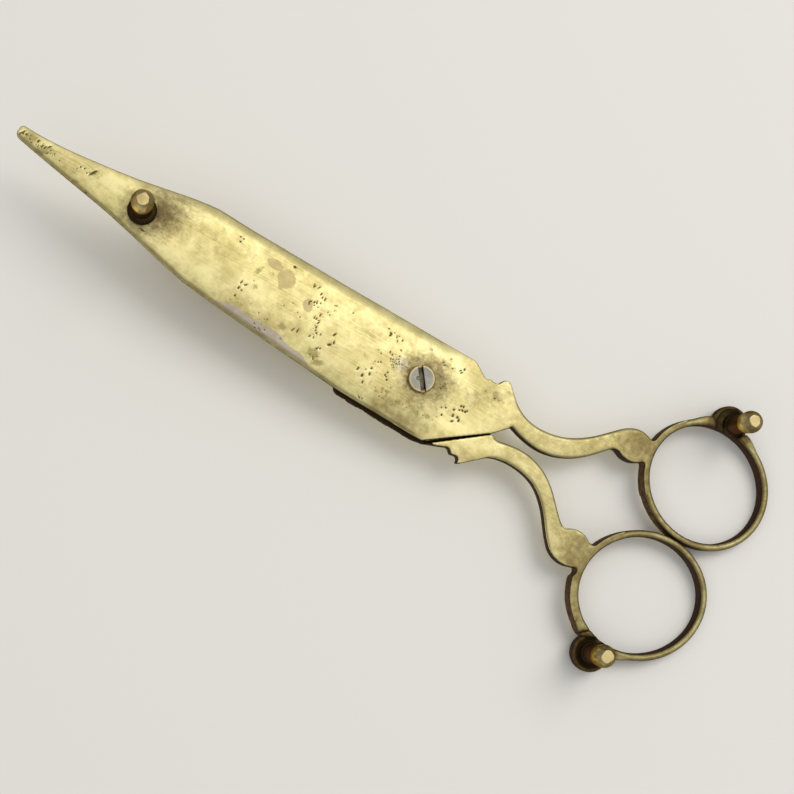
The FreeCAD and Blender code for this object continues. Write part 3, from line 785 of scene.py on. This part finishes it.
# The tarnish and dirt colours, which also paint shade.
ANTIQUE_AND_SHADE = rgb(122, 103, 62)
DIRT_AND_SHADE = rgb(50, 38, 23)
plate_brass = worn_brass("plate_brass", CLEAN, DULL, ANTIQUE_AND_SHADE, DIRT_AND_SHADE, ALONG, marked=True)
lever_brass = worn_brass("lever_brass", CLEAN, DULL, ANTIQUE_AND_SHADE, DIRT_AND_SHADE, ALONG)
box_brass = worn_brass(
    "box_brass", rgb(232, 214, 148), rgb(198, 178, 112), ANTIQUE_AND_SHADE, DIRT_AND_SHADE, LEVEL, extra_age=-0.04
)
foot_brass = worn_brass(
    "foot_brass", rgb(220, 200, 144), rgb(178, 158, 104), rgb(74, 57, 35), DIRT_AND_SHADE, LEVEL, 0.33
)
dark_brass = worn_brass(
    "dark_brass", rgb(190, 165, 96), rgb(150, 124, 66), rgb(92, 70, 36), DIRT_AND_SHADE, LEVEL, 0.4, 0.1
)
steel = worn_brass(
    "screw_steel", rgb(156, 153, 140), rgb(128, 127, 119), rgb(108, 95, 72), rgb(52, 36, 20),
    (1.5, 1.5, 1.5), 0.36, -0.1, rim=rgb(206, 186, 132),
)
solder = worn_brass(
    "solder_grey", rgb(182, 180, 176), rgb(150, 147, 142), rgb(104, 96, 82), rgb(46, 38, 26),
    (1.2, 1.2, 1.2), 0.48, 0.05,
)
LOOKS = {
    "base_lever": plate_brass,
    "press_lever": lever_brass,
    "wick_box_wall": box_brass,
    "wick_box_lid": box_brass,
    "press_plate": box_brass,
    "press_plate_rivets": box_brass,
    "box_solder": solder,
    "front_foot": foot_brass,
    "base_ring_foot": foot_brass,
    "press_ring_foot": foot_brass,
    "pivot_screw": steel,
    "pivot_washer": dark_brass,
    "pivot_nut": dark_brass,
}
for node, ob in PIECES.items():
    ob.data.materials.clear()
    ob.data.materials.append(LOOKS[node])
    ob.data.polygons.foreach_set("use_smooth", [True] * len(ob.data.polygons))

# ---------------------------------------------------------------- stage


GRAZING = 0.7  # the share of facing away past which the table is not seen


def stage_sheet(name, corners, tone, seen_from_the_side):
    """A pale sheet that the camera sees from its front only, and that blocks no light."""
    mesh = bpy.data.meshes.new(name)
    mesh.from_pydata(corners, [], [(0, 1, 2, 3)])
    ob = bpy.data.objects.new(name, mesh)
    bpy.context.scene.collection.objects.link(ob)
    mat = bpy.data.materials.new(name)
    mat.use_nodes = True
    tree = mat.node_tree
    tree.nodes.clear()
    out = tree.nodes.new("ShaderNodeOutputMaterial")
    paper = tree.nodes.new("ShaderNodeBsdfDiffuse")
    paper.inputs["Color"].default_value = tone
    clear = tree.nodes.new("ShaderNodeBsdfTransparent")
    front = tree.nodes.new("ShaderNodeMixShader")
    side = tree.nodes.new("ShaderNodeNewGeometry")
    tree.links.new(side.outputs["Backfacing"], front.inputs["Fac"])
    tree.links.new(paper.outputs[0], front.inputs[1])
    tree.links.new(clear.outputs[0], front.inputs[2])
    last = front
    if not seen_from_the_side:
        angle = tree.nodes.new("ShaderNodeLayerWeight")
        limit = tree.nodes.new("ShaderNodeMath")
        limit.operation = "GREATER_THAN"
        limit.inputs[1].default_value = GRAZING
        tree.links.new(angle.outputs["Facing"], limit.inputs[0])
        last = tree.nodes.new("ShaderNodeMixShader")
        tree.links.new(limit.outputs[0], last.inputs["Fac"])
        tree.links.new(front.outputs[0], last.inputs[1])
        tree.links.new(clear.outputs[0], last.inputs[2])
    tree.links.new(last.outputs[0], out.inputs["Surface"])
    mesh.materials.append(mat)
    ob.visible_shadow = False
    ob.visible_diffuse = False
    ob.visible_glossy = False
    ob.visible_transmission = False


PAPER = (0.68, 0.665, 0.622, 1)
FLOOR = 6.0
FLOOR_TONE = (0.585, 0.582, 0.567, 1)
FLOOR_CORNERS = [(-FLOOR, -FLOOR, 0), (FLOOR, -FLOOR, 0), (FLOOR, FLOOR, 0), (-FLOOR, FLOOR, 0)]
stage_sheet("floor", FLOOR_CORNERS, FLOOR_TONE, True)
# The surface that the trimmer lies on, feet up, as seen from below: it touches the box lid and the rings.
RING_TOP = 16.0 * MM
LID_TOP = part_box("wick_box_lid")[1].z
LID_X, RING_X = 0.048, -0.070
SLOPE = (LID_TOP - RING_TOP) / (LID_X - RING_X)
TABLE = 0.17


def table_point(x, y):
    return (x, y, LID_TOP + 0.3 * MM + SLOPE * (x - LID_X))


TABLE_CORNERS = [(-TABLE, TABLE), (TABLE, TABLE), (TABLE, -TABLE), (-TABLE, -TABLE)]
stage_sheet("table", [table_point(x, y) for x, y in TABLE_CORNERS], PAPER, False)

# A soft studio: bright above and below, greyer round the sides.
world = bpy.data.worlds.new("studio")
bpy.context.scene.world = world
world.use_nodes = True
wt = world.node_tree
back = wt.nodes["Background"]
ALL_ROUND = 0.24  # the world's brightness away from its two glows
SEEN_BRIGHTNESS = 0.72  # and where the camera sees it directly
GLOW_BELOW = (-0.12, 0.26, -0.95)
GLOW_ABOVE = (0.15, -0.2, 0.95)
where = wt.nodes.new("ShaderNodeTexCoord").outputs["Generated"]


def glow(towards, start, end, gain):
    """A broad soft glow in the world about one direction."""
    facing = wt.nodes.new("ShaderNodeVectorMath")
    facing.operation = "DOT_PRODUCT"
    wt.links.new(where, facing.inputs[0])
    facing.inputs[1].default_value = Vector(towards).normalized()
    fade = wt.nodes.new("ShaderNodeMapRange")
    fade.interpolation_type = "SMOOTHSTEP"
    fade.inputs["From Min"].default_value = start
    fade.inputs["From Max"].default_value = end
    fade.inputs["To Max"].default_value = gain
    wt.links.new(facing.outputs["Value"], fade.inputs["Value"])
    return fade.outputs["Result"]


def plus(a, b):
    node = wt.nodes.new("ShaderNodeMath")
    wt.links.new(a, node.inputs[0])
    if hasattr(b, "links"):
        wt.links.new(b, node.inputs[1])
    else:
        node.inputs[1].default_value = b
    return node.outputs[0]


glows = plus(plus(glow(GLOW_BELOW, 0.2, 1.0, 0.68), glow(GLOW_ABOVE, 0.0, 0.9, 1.05)), ALL_ROUND)
seen = wt.nodes.new("ShaderNodeLightPath")
pick = wt.nodes.new("ShaderNodeMix")
wt.links.new(seen.outputs["Is Camera Ray"], pick.inputs[0])
wt.links.new(glows, pick.inputs[2])
pick.inputs[3].default_value = SEEN_BRIGHTNESS
wt.links.new(pick.outputs[0], back.inputs["Strength"])
back.inputs["Color"].default_value = (0.975, 0.985, 1.0, 1)


AIM = Vector((0, 0, 0.014))  # the lights point at the middle of the tool


def area_light(name, place, size, power, in_reflections=True):
    """A square soft light; one kept out of reflections lights only what is matt."""
    lamp = bpy.data.lights.new(name, "AREA")
    lamp.shape = "SQUARE"
    lamp.size = size
    lamp.energy = power
    lamp.color = (1.0, 0.975, 0.94)
    ob = bpy.data.objects.new(name, lamp)
    bpy.context.scene.collection.objects.link(ob)
    ob.location = place
    ob.visible_glossy = in_reflections
    ob.rotation_mode = "QUATERNION"
    ob.rotation_quaternion = (AIM - Vector(place)).to_track_quat("-Z", "Y")


area_light("key_below", (-0.18, 0.50, -0.80), 0.5, 4.0, in_reflections=False)
area_light("fill_below", (0.25, -0.35, -0.85), 0.9, 1.5, in_reflections=False)
area_light("sheen_below", (-0.05, 0.37, -0.90), 0.42, 0.85)
area_light("key_above", (0.3, -0.4, 1.5), 0.6, 5.0, in_reflections=False)
area_light("sheen_above", (0.4, -0.7, 1.3), 0.7, 4.2)

# ---------------------------------------------------------------- camera

lens = bpy.data.cameras.new("camera")
cam = bpy.data.objects.new("camera", lens)
bpy.context.scene.collection.objects.link(cam)
lens.lens = 76.99
lens.sensor_width = 36
EYE = Vector((25.065, -57.465, -324.204)) * MM
AHEAD = Vector((-0.09242, 0.15638, 0.98336)).normalized()
UP = Vector((0.52141, 0.84896, -0.086))
right = AHEAD.cross(UP).normalized()
up = right.cross(AHEAD).normalized()
turn = Matrix((right, up, -AHEAD)).transposed().to_4x4()
cam.matrix_world = Matrix.Translation(EYE) @ turn
bpy.context.scene.camera = cam
bpy.context.scene.view_settings.view_transform = "Standard"
